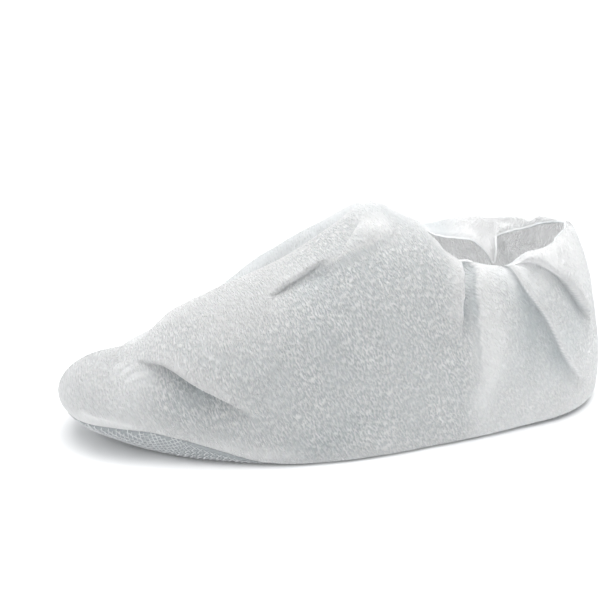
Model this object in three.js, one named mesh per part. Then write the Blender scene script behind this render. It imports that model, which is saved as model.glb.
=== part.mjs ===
// Disposable overshoe of white bonded cloth: two side panels sewn together along
// the instep and down the heel, an anti-slip sole that rolls up at the toe, and an
// elastic hem that gathers the ankle opening.
// Millimetres, +Z up, toe towards -X, the left side at -Y. The origin lies on the
// floor under the middle of the overshoe.
import * as THREE from "three";

// Driving dimensions
const CLOTH = 1.5; // wall of the side panels
const SOLE_CLOTH = 1.5; // wall of the coated sole
const SEAM_GAP = 0.4; // left open between two pieces that are sewn together
const HEM_RADIUS = 2.2; // the rolled hem with the elastic in it
const HEM_GAP = { side: 0.4, peak: 1.4, fade: 0.04 }; // from the panels to the hem, wider where it turns at the peak
const SPINE = { toe: -88, heel: 122 }; // ends of the sole's straight middle line
const PEAK = 0.62; // station where the instep seam ends and the ankle opening starts

// Facets: columns before and after the peak of the instep, the same for all pieces so
// that they meet facet to facet, then rows up each panel, over the sole's rolled margin
// and round the hem
const FACETS = { front: 36, back: 28, left: 19, right: 11, soleRoll: 3, hemSides: 8 };

// A row for each section of a side panel, from the toe round the side to the heel.
// foot: where it is sewn to the sole. edge: where it ends at the instep seam or the
// hem. turn: the way the section faces, 180 at the toe, 90 at the side, 0 at the heel.
// belly and crown: how far the handles of its curve stand out and up from the foot
// and from the edge. flat: share of the way from the spine to the foot that lies flat.
const COLUMNS = [
  "at", "footX", "footY", "footZ", "edgeX", "edgeY", "edgeZ", "turn",
  "bellyOut", "bellyUp", "crownOut", "crownUp", "flat",
];
const SECTIONS = [
  [0, -159, 0, 17, -130, 0, 55, 180, 13, 11, 32, -2, 0.42],
  [0.08, -153, 20, 16, -125, 0, 56, 146, 13, 11, 31, -3, 0.45],
  [0.16, -138, 35, 15, -115, 0, 58, 118, 13, 12, 29, -6, 0.55],
  [0.26, -110, 48, 13, -96, 0, 73, 104, 11, 22, 35, -7, 0.68],
  [0.36, -78, 59, 9.5, -69, 0, 86.5, 98, 6, 38, 43, -2, 0.76],
  [0.48, -38, 68, 4, -28, 0, 105, 93, 2, 56, 50, 3, 0.86],
  [0.57, -5, 69.5, 3, 4, 0, 124.5, 90, 1, 66, 52, 0, 0.88],
  [0.62, 12, 68.5, 3, 20, 0, 135, 88, 1, 66, 53, -5, 0.88],
  [0.645, 24, 67.5, 3, 30, 10.5, 133, 87, 1, 62, 43, -6, 0.88],
  [0.69, 44, 64, 3, 51, 19, 116, 84, 3, 56, 36, -1, 0.87],
  [0.75, 72, 59, 3, 78, 25, 102, 79, 4, 50, 33, 5, 0.86],
  [0.82, 106, 52, 3, 105, 27, 101, 70, 5, 42, 29, 13, 0.84],
  [0.895, 140, 43, 3, 127, 21.5, 105, 52, 6.5, 42, 23.5, 16, 0.8],
  [0.95, 161, 25, 3, 140, 11, 109, 27, 4, 40, 12, 12, 0.78],
  [1, 169, 0, 3, 146, 0, 111, 0, 3, 41, 8, 9, 0.76],
].map((row) => Object.fromEntries(COLUMNS.map((name, k) => [name, row[k]])));

// The edge of the ankle opening on each side, from the peak of the instep back to the
// heel. The far edge falls over into the mouth as a flap, then runs back out to the heel
const RIM_COLUMNS = ["at", "edgeX", "edgeY", "edgeZ"];
const RIMS = {
  left: [
    [0.62, 20, 0, 135], [0.628, 22, 5.5, 135.5], [0.65, 33, 8, 134], [0.69, 51, 16, 123], [0.715, 62, 21.5, 113],
    [0.735, 70, 24, 105], [0.765, 84, 26, 101.5], [0.805, 100, 27.5, 99], [0.845, 113, 26, 104],
    [0.895, 127, 21.5, 105.5], [0.95, 141, 10.5, 109.5], [1, 146, 0, 111],
  ],
  right: [
    [0.62, 20, 0, 135], [0.628, 22, 5.5, 134.5], [0.65, 34, 8.5, 128], [0.69, 53, 11.5, 118], [0.73, 69, 12, 109],
    [0.77, 87, 12, 105], [0.8, 98, 12, 101.5], [0.82, 106, 14, 100.5], [0.85, 116, 22, 100.5],
    [0.895, 130, 25, 101.5], [0.95, 143, 14, 107], [1, 146, 0, 111],
  ],
};
for (const side in RIMS) RIMS[side] = RIMS[side].map((row) => Object.fromEntries(RIM_COLUMNS.map((name, k) => [name, row[k]])));

// Where the two sides differ: soft swells of the section's crown, centred on a station
// and fading out over a width
const SWELLS = {
  left: [],
  right: [
    { at: 0.36, width: 0.08, crownUp: -8, crownOut: -6 },
    { at: 0.5, width: 0.09, crownUp: 16, crownOut: -16 },
    { at: 0.69, width: 0.05, crownUp: 8, crownOut: -8 },
    { at: 0.77, width: 0.05, crownUp: 34, crownOut: -6 },
  ],
};

// Folds, as seen from the side: a curve through from, by and to, given as [x, z].
// rise and fall: how far the cloth stands out on the left and on the right of the
// curve as it is followed; riseReach and fallReach: how far from it that dies away;
// soft: 1 for a crease, 2 for a rounded swell
const FOLDS = {
  left: [
    { name: "toe pleat", from: [-122, 56], by: [-88, 46.5], to: [-46, 27], rise: 5, riseReach: 30, fall: -4, fallReach: 17, soft: 1.3 },
    { name: "vamp pleat", from: [-45, 89], by: [-22, 100.5], to: [0, 113], rise: 4, riseReach: 11, fall: -3, fallReach: 18, soft: 1.2 },
    { name: "tongue", from: [-4, 110], by: [7.5, 121.5], to: [17, 131], rise: -1.5, riseReach: 8, fall: 3.5, fallReach: 22, soft: 1.4 },
    { name: "beside the seam", from: [-78, 84], by: [-36, 98], to: [8, 122], rise: 2, riseReach: 6, fall: 2, fallReach: 9, soft: 2 },
    { name: "gather", from: [73, 101], by: [69, 86], to: [62, 60], rise: -3.5, riseReach: 7, fall: 4, fallReach: 15, soft: 1.4 },
    { name: "gather band", from: [88, 100], by: [86, 72], to: [86, 36], rise: 3, riseReach: 10, fall: 3, fallReach: 6, soft: 2 },
    { name: "heel ridge", from: [98, 100], by: [115, 71], to: [153, 17], rise: -2, riseReach: 13, fall: 4, fallReach: 14, soft: 1.1 },
    { name: "heel roll", from: [102, 102], by: [131, 88.5], to: [160, 54], rise: 3, riseReach: 15, fall: -2.5, fallReach: 9, soft: 1.5 },
    { name: "toe wrinkle", from: [-136, 23], by: [-121, 27], to: [-102, 23], rise: 2, riseReach: 6, fall: -1.5, fallReach: 5, soft: 1.5 },
  ],
  right: [
    { name: "toe pleat", from: [-116, 50], by: [-90, 42], to: [-56, 28], rise: 3, riseReach: 24, fall: -3, fallReach: 18, soft: 1.4 },
    { name: "gather", from: [72, 103], by: [68, 86], to: [58, 58], rise: -3, riseReach: 9, fall: 3.5, fallReach: 16, soft: 1.5 },
    { name: "gather band", from: [92, 103], by: [92, 72], to: [96, 38], rise: 3, riseReach: 12, fall: 3, fallReach: 9, soft: 2 },
    { name: "heel ridge", from: [106, 102], by: [124, 72], to: [153, 24], rise: -2, riseReach: 13, fall: 3.5, fallReach: 16, soft: 1.2 },
  ],
};
const FOLD_EDGE = 4.5; // half the width over which a fold turns from rise to fall
const FOLD_STEPS = 32; // points that stand for a fold's curve
const EDGE_EASE = { seam: 6, sole: 9, ends: 0.06 }; // folds die out towards the seams

// Small gathers that the elastic pulls along the opening
const RUFFLE = { count: 7, height: 1, reach: 20 };

const smooth = (t) => t * t * (3 - 2 * t);
const bell = (t) => Math.exp(-t * t);

// Smooth curve through one column of a table. The two sides mirror each other at the
// toe and at the heel, so there a column runs level, or straight on if it changes sign
const CHANGES_SIGN = ["footY", "edgeY", "turn"];
function column(rows, name, at) {
  const next = rows.findIndex((row) => row.at >= at);
  const k = THREE.MathUtils.clamp(next - 1, 0, rows.length - 2);
  const [before, a, b, after] = [rows[k - 1], rows[k], rows[k + 1], rows[k + 2]];
  const span = b.at - a.at;
  const slope = (from, to) => ((to[name] - from[name]) / (to.at - from.at)) * span;
  const atEnd = CHANGES_SIGN.includes(name) ? slope(a, b) : 0;
  const slopeA = before ? slope(before, b) : atEnd;
  const slopeB = after ? slope(a, after) : atEnd;
  const t = (at - a.at) / span;
  const t2 = t * t;
  const t3 = t2 * t;
  return (2 * t3 - 3 * t2 + 1) * a[name] + (t3 - 2 * t2 + t) * slopeA + (3 * t2 - 2 * t3) * b[name] + (t3 - t2) * slopeB;
}

// The section at a station: foot, edge and handles of its curve, with the left side at -Y
function section(at, side) {
  const get = (name) => column(SECTIONS, name, at);
  const hand = side === "left" ? -1 : 1;
  const turn = THREE.MathUtils.degToRad(get("turn"));
  const out = new THREE.Vector3(Math.cos(turn), hand * Math.sin(turn), 0);
  let crownUp = get("crownUp");
  let crownOut = get("crownOut");
  for (const swell of SWELLS[side]) {
    const share = bell((at - swell.at) / swell.width);
    crownUp += share * swell.crownUp;
    crownOut += share * swell.crownOut;
  }
  const foot = new THREE.Vector3(get("footX"), hand * get("footY"), get("footZ"));
  const onEdge = (name) => column(at > PEAK ? RIMS[side] : SECTIONS, name, at);
  const edgeY = at > PEAK ? Math.max(0, onEdge("edgeY")) : 0;
  const edge = new THREE.Vector3(onEdge("edgeX"), hand * edgeY, onEdge("edgeZ"));
  const up = new THREE.Vector3(0, 0, 1);
  const belly = foot.clone().addScaledVector(out, get("bellyOut")).addScaledVector(up, get("bellyUp"));
  const crown = edge.clone().addScaledVector(out, crownOut).addScaledVector(up, crownUp);
  return { at, out, foot, belly, crown, edge, flat: get("flat") };
}

// Stations along the overshoe, with one exactly at the peak of the instep
const STATIONS = [];
for (let i = 0; i < FACETS.front; i++) STATIONS.push((PEAK * i) / FACETS.front);
for (let i = 0; i <= FACETS.back; i++) STATIONS.push(PEAK + ((1 - PEAK) * i) / FACETS.back);

// Outer face of a panel as rows of points, rows running up from the sole
function panelFace(side, up) {
  return STATIONS.map((at) => {
    const { foot, belly, crown, edge } = section(at, side);
    const curve = new THREE.CubicBezierCurve3(foot, belly, crown, edge);
    const length = curve.getLength();
    const points = [];
    for (let j = 0; j <= up; j++) {
      const share = THREE.MathUtils.lerp(SEAM_GAP / length, 1, j / up);
      points.push(curve.getPointAt(share));
    }
    return points;
  });
}

// A fold's curve as points with the way that it runs
function foldLine({ from, by, to }) {
  const [a, m, b] = [from, by, to].map(([x, z]) => new THREE.Vector2(x, z));
  const handle = m.clone().multiplyScalar(2).sub(a.clone().add(b).multiplyScalar(0.5));
  const curve = new THREE.QuadraticBezierCurve(a, handle, b);
  return Array.from({ length: FOLD_STEPS + 1 }, (_, k) => {
    const t = k / FOLD_STEPS;
    return { t, point: curve.getPoint(t), ahead: curve.getTangent(t) };
  });
}

// How far one fold moves the cloth out at a place seen from the side
function foldOffset(fold, line, x, z) {
  let near = line[0];
  let best = Infinity;
  for (const step of line) {
    const gap = Math.hypot(x - step.point.x, z - step.point.y);
    if (gap < best) [best, near] = [gap, step];
  }
  const onLeft = near.ahead.x * (z - near.point.y) - near.ahead.y * (x - near.point.x);
  const away = Math.sign(onLeft) * best;
  const fade = (reach) => Math.exp(-Math.pow(best / reach, fold.soft));
  const turn = smooth(THREE.MathUtils.clamp(away / FOLD_EDGE / 2 + 0.5, 0, 1));
  const ends = smooth(THREE.MathUtils.clamp(Math.min(near.t, 1 - near.t) / 0.22, 0, 1));
  return ends * THREE.MathUtils.lerp(fold.fall * fade(fold.fallReach), fold.rise * fade(fold.riseReach), turn);
}

// Outer face of a panel with its folds and gathers
function foldedFace(side, up) {
  const hand = side === "left" ? -1 : 1;
  const face = panelFace(side, up);
  const normals = faceNormals(face, hand);
  const lines = FOLDS[side].map((fold) => ({ fold, line: foldLine(fold) }));
  return face.map((points, i) => {
    const at = STATIONS[i];
    const height = points[0].distanceTo(points[1]) * up;
    const ends = smooth(THREE.MathUtils.clamp(Math.min(at, 1 - at) / EDGE_EASE.ends, 0, 1));
    const { out } = section(at, side);
    const ruffled = smooth(THREE.MathUtils.clamp((at - PEAK) / 0.05, 0, 1));
    return points.map((point, j) => {
      const below = height * (1 - j / up);
      const above = height * (j / up);
      const ease = ends * smooth(THREE.MathUtils.clamp(below / EDGE_EASE.seam, 0, 1)) * smooth(THREE.MathUtils.clamp(above / EDGE_EASE.sole, 0, 1));
      const outside = smooth(THREE.MathUtils.clamp(normals[i][j].dot(out) * 2 + 0.6, 0, 1));
      let offset = 0;
      for (const { fold, line } of lines) offset += foldOffset(fold, line, point.x, point.z);
      const wave = Math.sin((2 * Math.PI * RUFFLE.count * (at - PEAK)) / (1 - PEAK));
      offset *= outside;
      offset += ruffled * RUFFLE.height * wave * Math.exp(-below / RUFFLE.reach);
      return point.clone().addScaledVector(normals[i][j], ease * offset);
    });
  });
}

// Unit normals of a face given as columns of points, pointing out of the overshoe
function faceNormals(face, hand) {
  return face.map((points, i) =>
    points.map((_, j) => {
      const along = face[Math.min(i + 1, face.length - 1)][j].clone().sub(face[Math.max(i - 1, 0)][j]);
      const up = points[Math.min(j + 1, points.length - 1)].clone().sub(points[Math.max(j - 1, 0)]);
      return along.cross(up).multiplyScalar(-hand).normalize();
    }),
  );
}

// Closed solid from an outer and an inner face with the same columns and rows
function shell(outer, inner, flip) {
  const columns = outer.length;
  const rows = outer[0].length;
  const points = [...outer.flat(), ...inner.flat()];
  const id = (layer, i, j) => layer * columns * rows + i * rows + j;
  const index = [];
  // each four-sided facet is split along its shorter diagonal, which follows the folds
  const quad = (a, b, c, d) => {
    const straight = points[a].distanceTo(points[c]) <= points[b].distanceTo(points[d]);
    const [p, q, r, s] = straight ? [a, b, c, d] : [b, c, d, a];
    index.push(...(flip ? [p, r, q, p, s, r] : [p, q, r, p, r, s]));
  };
  for (let i = 0; i + 1 < columns; i++) {
    for (let j = 0; j + 1 < rows; j++) {
      quad(id(0, i, j), id(0, i + 1, j), id(0, i + 1, j + 1), id(0, i, j + 1));
      quad(id(1, i, j), id(1, i, j + 1), id(1, i + 1, j + 1), id(1, i + 1, j));
    }
    quad(id(0, i + 1, 0), id(0, i, 0), id(1, i, 0), id(1, i + 1, 0));
    quad(id(0, i, rows - 1), id(0, i + 1, rows - 1), id(1, i + 1, rows - 1), id(1, i, rows - 1));
  }
  for (let j = 0; j + 1 < rows; j++) {
    quad(id(0, 0, j), id(0, 0, j + 1), id(1, 0, j + 1), id(1, 0, j));
    quad(id(0, columns - 1, j + 1), id(0, columns - 1, j), id(1, columns - 1, j), id(1, columns - 1, j + 1));
  }
  return toGeometry(points, index);
}

function toGeometry(points, index) {
  const geometry = new THREE.BufferGeometry().setFromPoints(points);
  geometry.setIndex(index);
  geometry.computeVertexNormals();
  return geometry;
}

// Side panel: the outer face with its folds, and the same face set in by the cloth
function panel(side) {
  const hand = side === "left" ? -1 : 1;
  const outer = foldedFace(side, FACETS[side]);
  const normals = faceNormals(outer, hand);
  const keepToSide = (point) => point.setY(hand * Math.max(hand * point.y, SEAM_GAP / 2));
  const inner = outer.map((points, i) => points.map((point, j) => keepToSide(point.clone().addScaledVector(normals[i][j], -CLOTH))));
  outer.forEach((points) => points.forEach(keepToSide));
  return shell(outer, inner, side === "right");
}

// Sole: flat from the spine out, then rolled up to meet the foot of the panels
function sole() {
  const rings = FACETS.soleRoll + 2;
  const points = [];
  const index = [];
  const up = new THREE.Vector3(0, 0, 1);
  const halves = ["left", "right"].map((side) =>
    STATIONS.map((at) => {
      const { foot, belly, flat } = section(at, side);
      const spine = new THREE.Vector3(THREE.MathUtils.clamp(foot.x, SPINE.toe, SPINE.heel), 0, 0);
      const climb = belly.clone().sub(foot).normalize();
      const flatEnd = spine.clone().lerp(foot.clone().setZ(0), flat);
      const turnUp = foot.clone().addScaledVector(climb, -foot.z / climb.z);
      const end = foot.clone().addScaledVector(climb, -SEAM_GAP);
      const curve = new THREE.QuadraticBezierCurve3(flatEnd, turnUp, end);
      const away = turnUp.clone().sub(flatEnd).normalize();
      const line = [{ at: spine, normal: up }];
      for (let k = 0; k <= FACETS.soleRoll; k++) {
        const tangent = curve.getTangent(k / FACETS.soleRoll);
        const normal = up.clone().multiplyScalar(tangent.dot(away)).addScaledVector(away, -tangent.z);
        line.push({ at: curve.getPoint(k / FACETS.soleRoll), normal: normal.normalize() });
      }
      return line;
    }),
  );
  const loop = [...halves[0], ...halves[1].slice(1, -1).reverse()];
  for (const layer of [0, SOLE_CLOTH]) {
    for (const line of loop) for (const { at, normal } of line) points.push(at.clone().addScaledVector(normal, layer));
  }
  const id = (layer, i, k) => (layer * loop.length + (i % loop.length)) * rings + k;
  const quad = (a, b, c, d) => {
    for (const [p, q, r] of [[a, b, c], [a, c, d]]) {
      const [P, Q, R] = [points[p], points[q], points[r]];
      if (Q.clone().sub(P).cross(R.clone().sub(P)).length() > 1e-4) index.push(p, q, r);
    }
  };
  for (let i = 0; i < loop.length; i++) {
    for (let k = 0; k + 1 < rings; k++) {
      quad(id(0, i, k), id(0, i + 1, k), id(0, i + 1, k + 1), id(0, i, k + 1));
      quad(id(1, i, k), id(1, i, k + 1), id(1, i + 1, k + 1), id(1, i + 1, k));
    }
    const k = rings - 1;
    quad(id(0, i, k), id(0, i + 1, k), id(1, i + 1, k), id(1, i, k));
  }
  return toGeometry(points, index);
}

// Hem: a closed roll that sits on the edges of both panels all round the opening
function hem() {
  const [left, right] = ["left", "right"].map((side) =>
    panelFace(side, FACETS[side]).slice(FACETS.front).map((points, i) => ({
      at: STATIONS[FACETS.front + i], edge: points.at(-1), before: points.at(-2),
    })),
  );
  const rim = [...left, ...right.slice(1, -1).reverse()];
  const ahead = (list, i) => list[(i + 1) % list.length].clone().sub(list[(i + list.length - 1) % list.length]).normalize();
  const edges = rim.map(({ edge }) => edge);
  const path = rim.map(({ at, edge, before }, i) => {
    const along = ahead(edges, i);
    const rise = edge.clone().sub(before);
    rise.addScaledVector(along, -rise.dot(along)).normalize();
    const gap = THREE.MathUtils.lerp(HEM_GAP.side, HEM_GAP.peak, bell((at - PEAK) / HEM_GAP.fade));
    return edge.clone().addScaledVector(rise, HEM_RADIUS + gap);
  });
  const sides = FACETS.hemSides;
  const points = [];
  const index = [];
  path.forEach((point, i) => {
    const along = ahead(path, i);
    const across = new THREE.Vector3(0, 0, 1).cross(along).normalize();
    const upright = along.clone().cross(across);
    for (let k = 0; k < sides; k++) {
      const turn = (2 * Math.PI * k) / sides;
      points.push(point.clone().addScaledVector(across, HEM_RADIUS * Math.cos(turn)).addScaledVector(upright, HEM_RADIUS * Math.sin(turn)));
    }
  });
  for (let i = 0; i < path.length; i++) {
    for (let k = 0; k < sides; k++) {
      const [a, b] = [i * sides + k, i * sides + ((k + 1) % sides)];
      const next = ((i + 1) % path.length) * sides;
      const [c, d] = [next + ((k + 1) % sides), next + k];
      index.push(a, b, c, a, c, d);
    }
  }
  return toGeometry(points, index);
}

const white = new THREE.Color(0.86, 0.88, 0.88);
const grey = new THREE.Color(0.66, 0.68, 0.69);

function piece(name, geometry, color, roughness) {
  const mesh = new THREE.Mesh(geometry, new THREE.MeshStandardMaterial({ color, roughness, metalness: 0 }));
  mesh.name = name;
  return mesh;
}

const overshoe = new THREE.Group();
overshoe.name = "shoe_cover";
overshoe.add(piece("left_panel", panel("left"), white, 0.85));
overshoe.add(piece("right_panel", panel("right"), white, 0.85));
overshoe.add(piece("sole", sole(), grey, 0.8));
overshoe.add(piece("elastic_hem", hem(), white, 0.8));

// The origin: under the middle of the overall box, on the floor
const box = new THREE.Box3().setFromObject(overshoe);
const middle = box.getCenter(new THREE.Vector3());
for (const mesh of overshoe.children) mesh.geometry.translate(-middle.x, -middle.y, -box.min.z);

export default overshoe;
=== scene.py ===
import math
import bmesh
import bpy
import numpy as np
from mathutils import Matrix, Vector, noise


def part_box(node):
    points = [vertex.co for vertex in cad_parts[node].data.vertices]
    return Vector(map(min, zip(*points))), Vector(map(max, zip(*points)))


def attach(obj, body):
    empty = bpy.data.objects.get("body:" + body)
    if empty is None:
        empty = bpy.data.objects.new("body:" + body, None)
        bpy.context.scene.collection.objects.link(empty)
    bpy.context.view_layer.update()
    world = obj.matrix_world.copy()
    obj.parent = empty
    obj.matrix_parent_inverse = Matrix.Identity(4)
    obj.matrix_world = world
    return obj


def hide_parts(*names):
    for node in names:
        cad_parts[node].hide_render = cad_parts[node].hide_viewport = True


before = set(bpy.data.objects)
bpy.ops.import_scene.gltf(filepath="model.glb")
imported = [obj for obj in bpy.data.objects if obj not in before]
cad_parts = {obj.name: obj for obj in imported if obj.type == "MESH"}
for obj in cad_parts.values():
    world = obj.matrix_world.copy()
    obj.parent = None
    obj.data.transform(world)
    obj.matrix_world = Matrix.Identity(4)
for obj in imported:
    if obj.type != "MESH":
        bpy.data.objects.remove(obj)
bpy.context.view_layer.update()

mm = 0.001
scene = bpy.context.scene

# camera, floor and light
photoView = {"azimuth": -12, "elevation": 25, "distance": 1.3, "lens": 129.5, "sensor": 36,
             "aim": (0, 0, 0.060), "shiftX": -0.055, "shiftY": 0.0333}


def placeCamera(v):
    a = math.radians(v["azimuth"])
    e = math.radians(v["elevation"])
    back = Vector((math.sin(a) * math.cos(e), -math.cos(a) * math.cos(e), math.sin(e)))
    data = bpy.data.cameras.new("photoCamera")
    data.lens = v["lens"]
    data.sensor_width = v["sensor"]
    data.shift_x = v["shiftX"]
    data.shift_y = v["shiftY"]
    camera = bpy.data.objects.new("photoCamera", data)
    camera.location = Vector(v["aim"]) + back * v["distance"]
    camera.rotation_mode = "QUATERNION"
    camera.rotation_quaternion = (-back).to_track_quat("-Z", "Y")
    scene.collection.objects.link(camera)
    scene.camera = camera


placeCamera(photoView)


class Wire:
    # a node socket that can be added, multiplied and so on; any other node comes from make
    def __init__(self, tree, socket=None):
        self.tree = tree
        self.socket = socket

    def make(self, kind, settings=None, inputs=None, out=0):
        node = self.tree.nodes.new(kind)
        for key, value in (settings or {}).items():
            setattr(node, key, value)
        for key, value in (inputs or {}).items():
            if isinstance(value, Wire):
                self.tree.links.new(value.socket, node.inputs[key])
            else:
                node.inputs[key].default_value = value
        return Wire(self.tree, node.outputs[out])

    def sum(self, operation, first, second):
        return self.make("ShaderNodeMath", {"operation": operation}, {0: first, 1: second})

    def __add__(self, other):
        return self.sum("ADD", self, other)

    def __radd__(self, other):
        return self.sum("ADD", other, self)

    def __sub__(self, other):
        return self.sum("SUBTRACT", self, other)

    def __rsub__(self, other):
        return self.sum("SUBTRACT", other, self)

    def __mul__(self, other):
        return self.sum("MULTIPLY", self, other)

    def __pow__(self, other):
        return self.sum("POWER", self, other)

    def span(self, low, high):
        # 0 below low, 1 above high, smooth between
        return self.make("ShaderNodeMapRange", {"interpolation_type": "SMOOTHSTEP"},
                         {"Value": self, "From Min": low, "From Max": high})

    def tint(self, low, high):
        # the colour low at 0, high at 1
        return self.make("ShaderNodeMix", {"data_type": "RGBA"}, {0: self, 6: low, 7: high}, out=2)

    def noise(self, place, scale, detail=2.0, **more):
        inputs = {"Vector": place, "Scale": scale, "Detail": detail, **more}
        return self.make("ShaderNodeTexNoise", {}, inputs, out="Fac")

    def mark(self, name, out="Fac"):
        # a value stored on the points of the mesh
        return self.make("ShaderNodeAttribute", {"attribute_name": name}, out=out)

    def bump(self, height, distance, strength=1.0):
        inputs = {"Height": height, "Distance": distance, "Strength": strength}
        return self.make("ShaderNodeBump", {}, inputs, out="Normal")

    def turned(self, place, angle, scale):
        return self.make("ShaderNodeMapping", {"vector_type": "TEXTURE"},
                         {"Vector": place, "Rotation": (0, 0, angle), "Scale": scale})


def newFinish(name, **fixed):
    # a material with a Principled shader whose constant sockets are set at once
    finish = bpy.data.materials.new(name)
    finish.use_nodes = True
    shader = finish.node_tree.nodes["Principled BSDF"]
    for key, value in fixed.items():
        shader.inputs[key.replace("_", " ")].default_value = value
    return finish, shader, Wire(finish.node_tree)


def feed(finish, shader, **wires):
    for key, wire in wires.items():
        finish.node_tree.links.new(wire.socket, shader.inputs[key.replace("_", " ")])


floorSizes = {"half": 4.0, "cloud": 1.5,
              "tone": (0.93, 0.935, 0.94, 1), "toneFar": (0.95, 0.95, 0.95, 1)}


def layFloor(s):
    h = s["half"]
    mesh = bpy.data.meshes.new("floor")
    mesh.from_pydata([(-h, -h, 0), (h, -h, 0), (h, h, 0), (-h, h, 0)], [], [(0, 1, 2, 3)])
    floor = bpy.data.objects.new("floor", mesh)
    scene.collection.objects.link(floor)
    finish, shader, w = newFinish("paleFloor", Roughness=0.9)
    place = w.make("ShaderNodeTexCoord", out="Object")
    feed(finish, shader, Base_Color=w.noise(place, s["cloud"]).tint(s["tone"], s["toneFar"]))
    mesh.materials.append(finish)


studio = {
    "sky": (0.97, 0.985, 1.0), "skyStrength": 0.66, "aim": (0, 0, 0.05),
    "lamps": [
        {"name": "overheadBox", "at": (0, 0, 2.7), "size": 2.6, "power": 53},
        {"name": "overheadBackBox", "at": (0, 0.9, 2.4), "size": 2.0, "power": 9},
        {"name": "frontBox", "at": (0, -1.7, 0.9), "size": 1.6, "power": 6},
        {"name": "heelTopBox", "at": (1.4, 0.3, 1.8), "size": 1.6, "power": 14},
        {"name": "toeBox", "at": (-1.5, -0.1, 0.8), "size": 1.2, "power": 5.2},
    ],
}


def lightStudio(s):
    world = bpy.data.worlds.new("studioSky")
    scene.world = world
    world.use_nodes = True
    sky = world.node_tree.nodes["Background"]
    sky.inputs["Color"].default_value = (*s["sky"], 1)
    sky.inputs["Strength"].default_value = s["skyStrength"]
    for lamp in s["lamps"]:
        data = bpy.data.lights.new(lamp["name"], "AREA")
        data.size = lamp["size"]
        data.energy = lamp["power"]
        light = bpy.data.objects.new(lamp["name"], data)
        light.location = lamp["at"]
        towards = Vector(s["aim"]) - Vector(lamp["at"])
        light.rotation_mode = "QUATERNION"
        light.rotation_quaternion = towards.to_track_quat("-Z", "Y")
        scene.collection.objects.link(light)
    scene.view_settings.view_transform = "Standard"


layFloor(floorSizes)
lightStudio(studio)
print("camera, floor and light set")

# the cut of the cloth: a row for each section from the toe round the side to the heel
sectionNames = ("at", "footX", "footY", "footZ", "edgeX", "edgeY", "edgeZ", "turn",
                "bellyOut", "bellyUp", "crownOut", "crownUp", "flat")
sectionRows = np.array([
    (0, -159, 0, 17, -130, 0, 55, 180, 13, 11, 32, -2, 0.42),
    (0.08, -153, 20, 16, -125, 0, 56, 146, 13, 11, 31, -3, 0.45),
    (0.16, -138, 35, 15, -115, 0, 58, 118, 13, 12, 29, -6, 0.55),
    (0.26, -110, 48, 13, -96, 0, 75.5, 104, 11, 22, 35, -7, 0.68),
    (0.36, -78, 59, 9.5, -69, 0, 88.5, 98, 6, 38, 43, -2, 0.76),
    (0.48, -38, 68, 4, -28, 0, 105, 93, 2, 56, 50, 3, 0.86),
    (0.57, -5, 69.5, 3, 4, 0, 124.5, 90, 1, 66, 52, 0, 0.88),
    (0.62, 12, 68.5, 3, 20, 0, 135, 88, 1, 66, 53, -5, 0.88),
    (0.645, 24, 67.5, 3, 30, 10.5, 133, 87, 1, 62, 43, -6, 0.88),
    (0.69, 44, 64, 3, 51, 19, 116, 84, 3, 56, 36, -1, 0.87),
    (0.75, 72, 59, 3.5, 78, 25, 102, 79, 4, 50, 33, 5, 0.85),
    (0.82, 106, 52, 5, 105, 27, 101, 70, 5, 42, 27, 13, 0.8),
    (0.895, 140, 43, 7, 127, 21.5, 105, 52, 5, 37, 20, 16, 0.74),
    (0.95, 161, 25, 8, 140, 11, 109, 27, 4, 36, 12, 12, 0.7),
    (1, 169, 0, 8, 146, 0, 111, 0, 3, 37, 8, 9, 0.68),
])
changesSign = ("footY", "edgeY", "turn")
hands = {"left": -1, "right": 1}
peakAt = 0.62  # the instep seam ends here and the ankle opening starts
swellRows = {  # soft swells of one side: at, width, crownUp, crownOut
    "left": [],
    "right": [(0.27, 0.05, -9, -4), (0.36, 0.08, -12, -6), (0.5, 0.09, 16, -16), (0.69, 0.05, 8, -8),
              (0.77, 0.05, 34, -6), (0.812, 0.024, 23, 0), (0.845, 0.03, 4, 0)],
}
# the edge of the opening: at, x, y, z. The far one falls into the mouth as a flap short of the heel
rimRows = {
    "left": np.array([
        (0.62, 20, 0, 135), (0.635, 26.5, 2.5, 136.5), (0.65, 33, 5, 134), (0.67, 42, 9, 129),
        (0.69, 51, 13, 125), (0.702, 57, 16, 117.5), (0.715, 62, 19, 113), (0.725, 66, 21, 107.5),
        (0.735, 70, 23, 103.8), (0.75, 77, 25, 103), (0.765, 84, 26, 101), (0.79, 94, 27, 98.7),
        (0.805, 100, 27, 98.2), (0.82, 105, 27, 100), (0.845, 113, 26, 105), (0.87, 120, 24.5, 105.4),
        (0.895, 127, 21.5, 105.5), (0.93, 136, 14, 107.5), (0.96, 143, 8, 110.5), (1, 146, 0, 111)]),
    "right": np.array([
        (0.62, 20, 0, 135), (0.635, 26, 1.5, 131.5), (0.65, 34, 2.5, 127), (0.67, 44, 4, 121),
        (0.69, 53, 6, 116.5), (0.71, 61, 7, 112), (0.73, 69, 7, 107.5), (0.75, 78, 7, 105.3),
        (0.77, 87, 7, 104), (0.785, 93, 6.5, 100.5), (0.797, 98, 6, 95.5), (0.806, 102, 5.5, 89.5),
        (0.812, 104, 6, 86.5), (0.818, 105.5, 9, 91), (0.825, 107, 13, 96.5), (0.835, 109, 18.5, 98.2),
        (0.85, 116, 24, 98.2), (0.87, 124, 26, 99), (0.895, 132, 26, 99.8), (0.92, 138.5, 24, 102.4),
        (0.95, 144, 17, 105.5), (0.975, 146, 9, 108.5), (1, 146, 0, 111)]),
}


def smooth(t):
    t = np.clip(t, 0, 1)
    return t * t * (3 - 2 * t)


def bell(t):
    return np.exp(-t * t)


def atLeast(least, share):
    return least + (1 - least) * share


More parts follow.
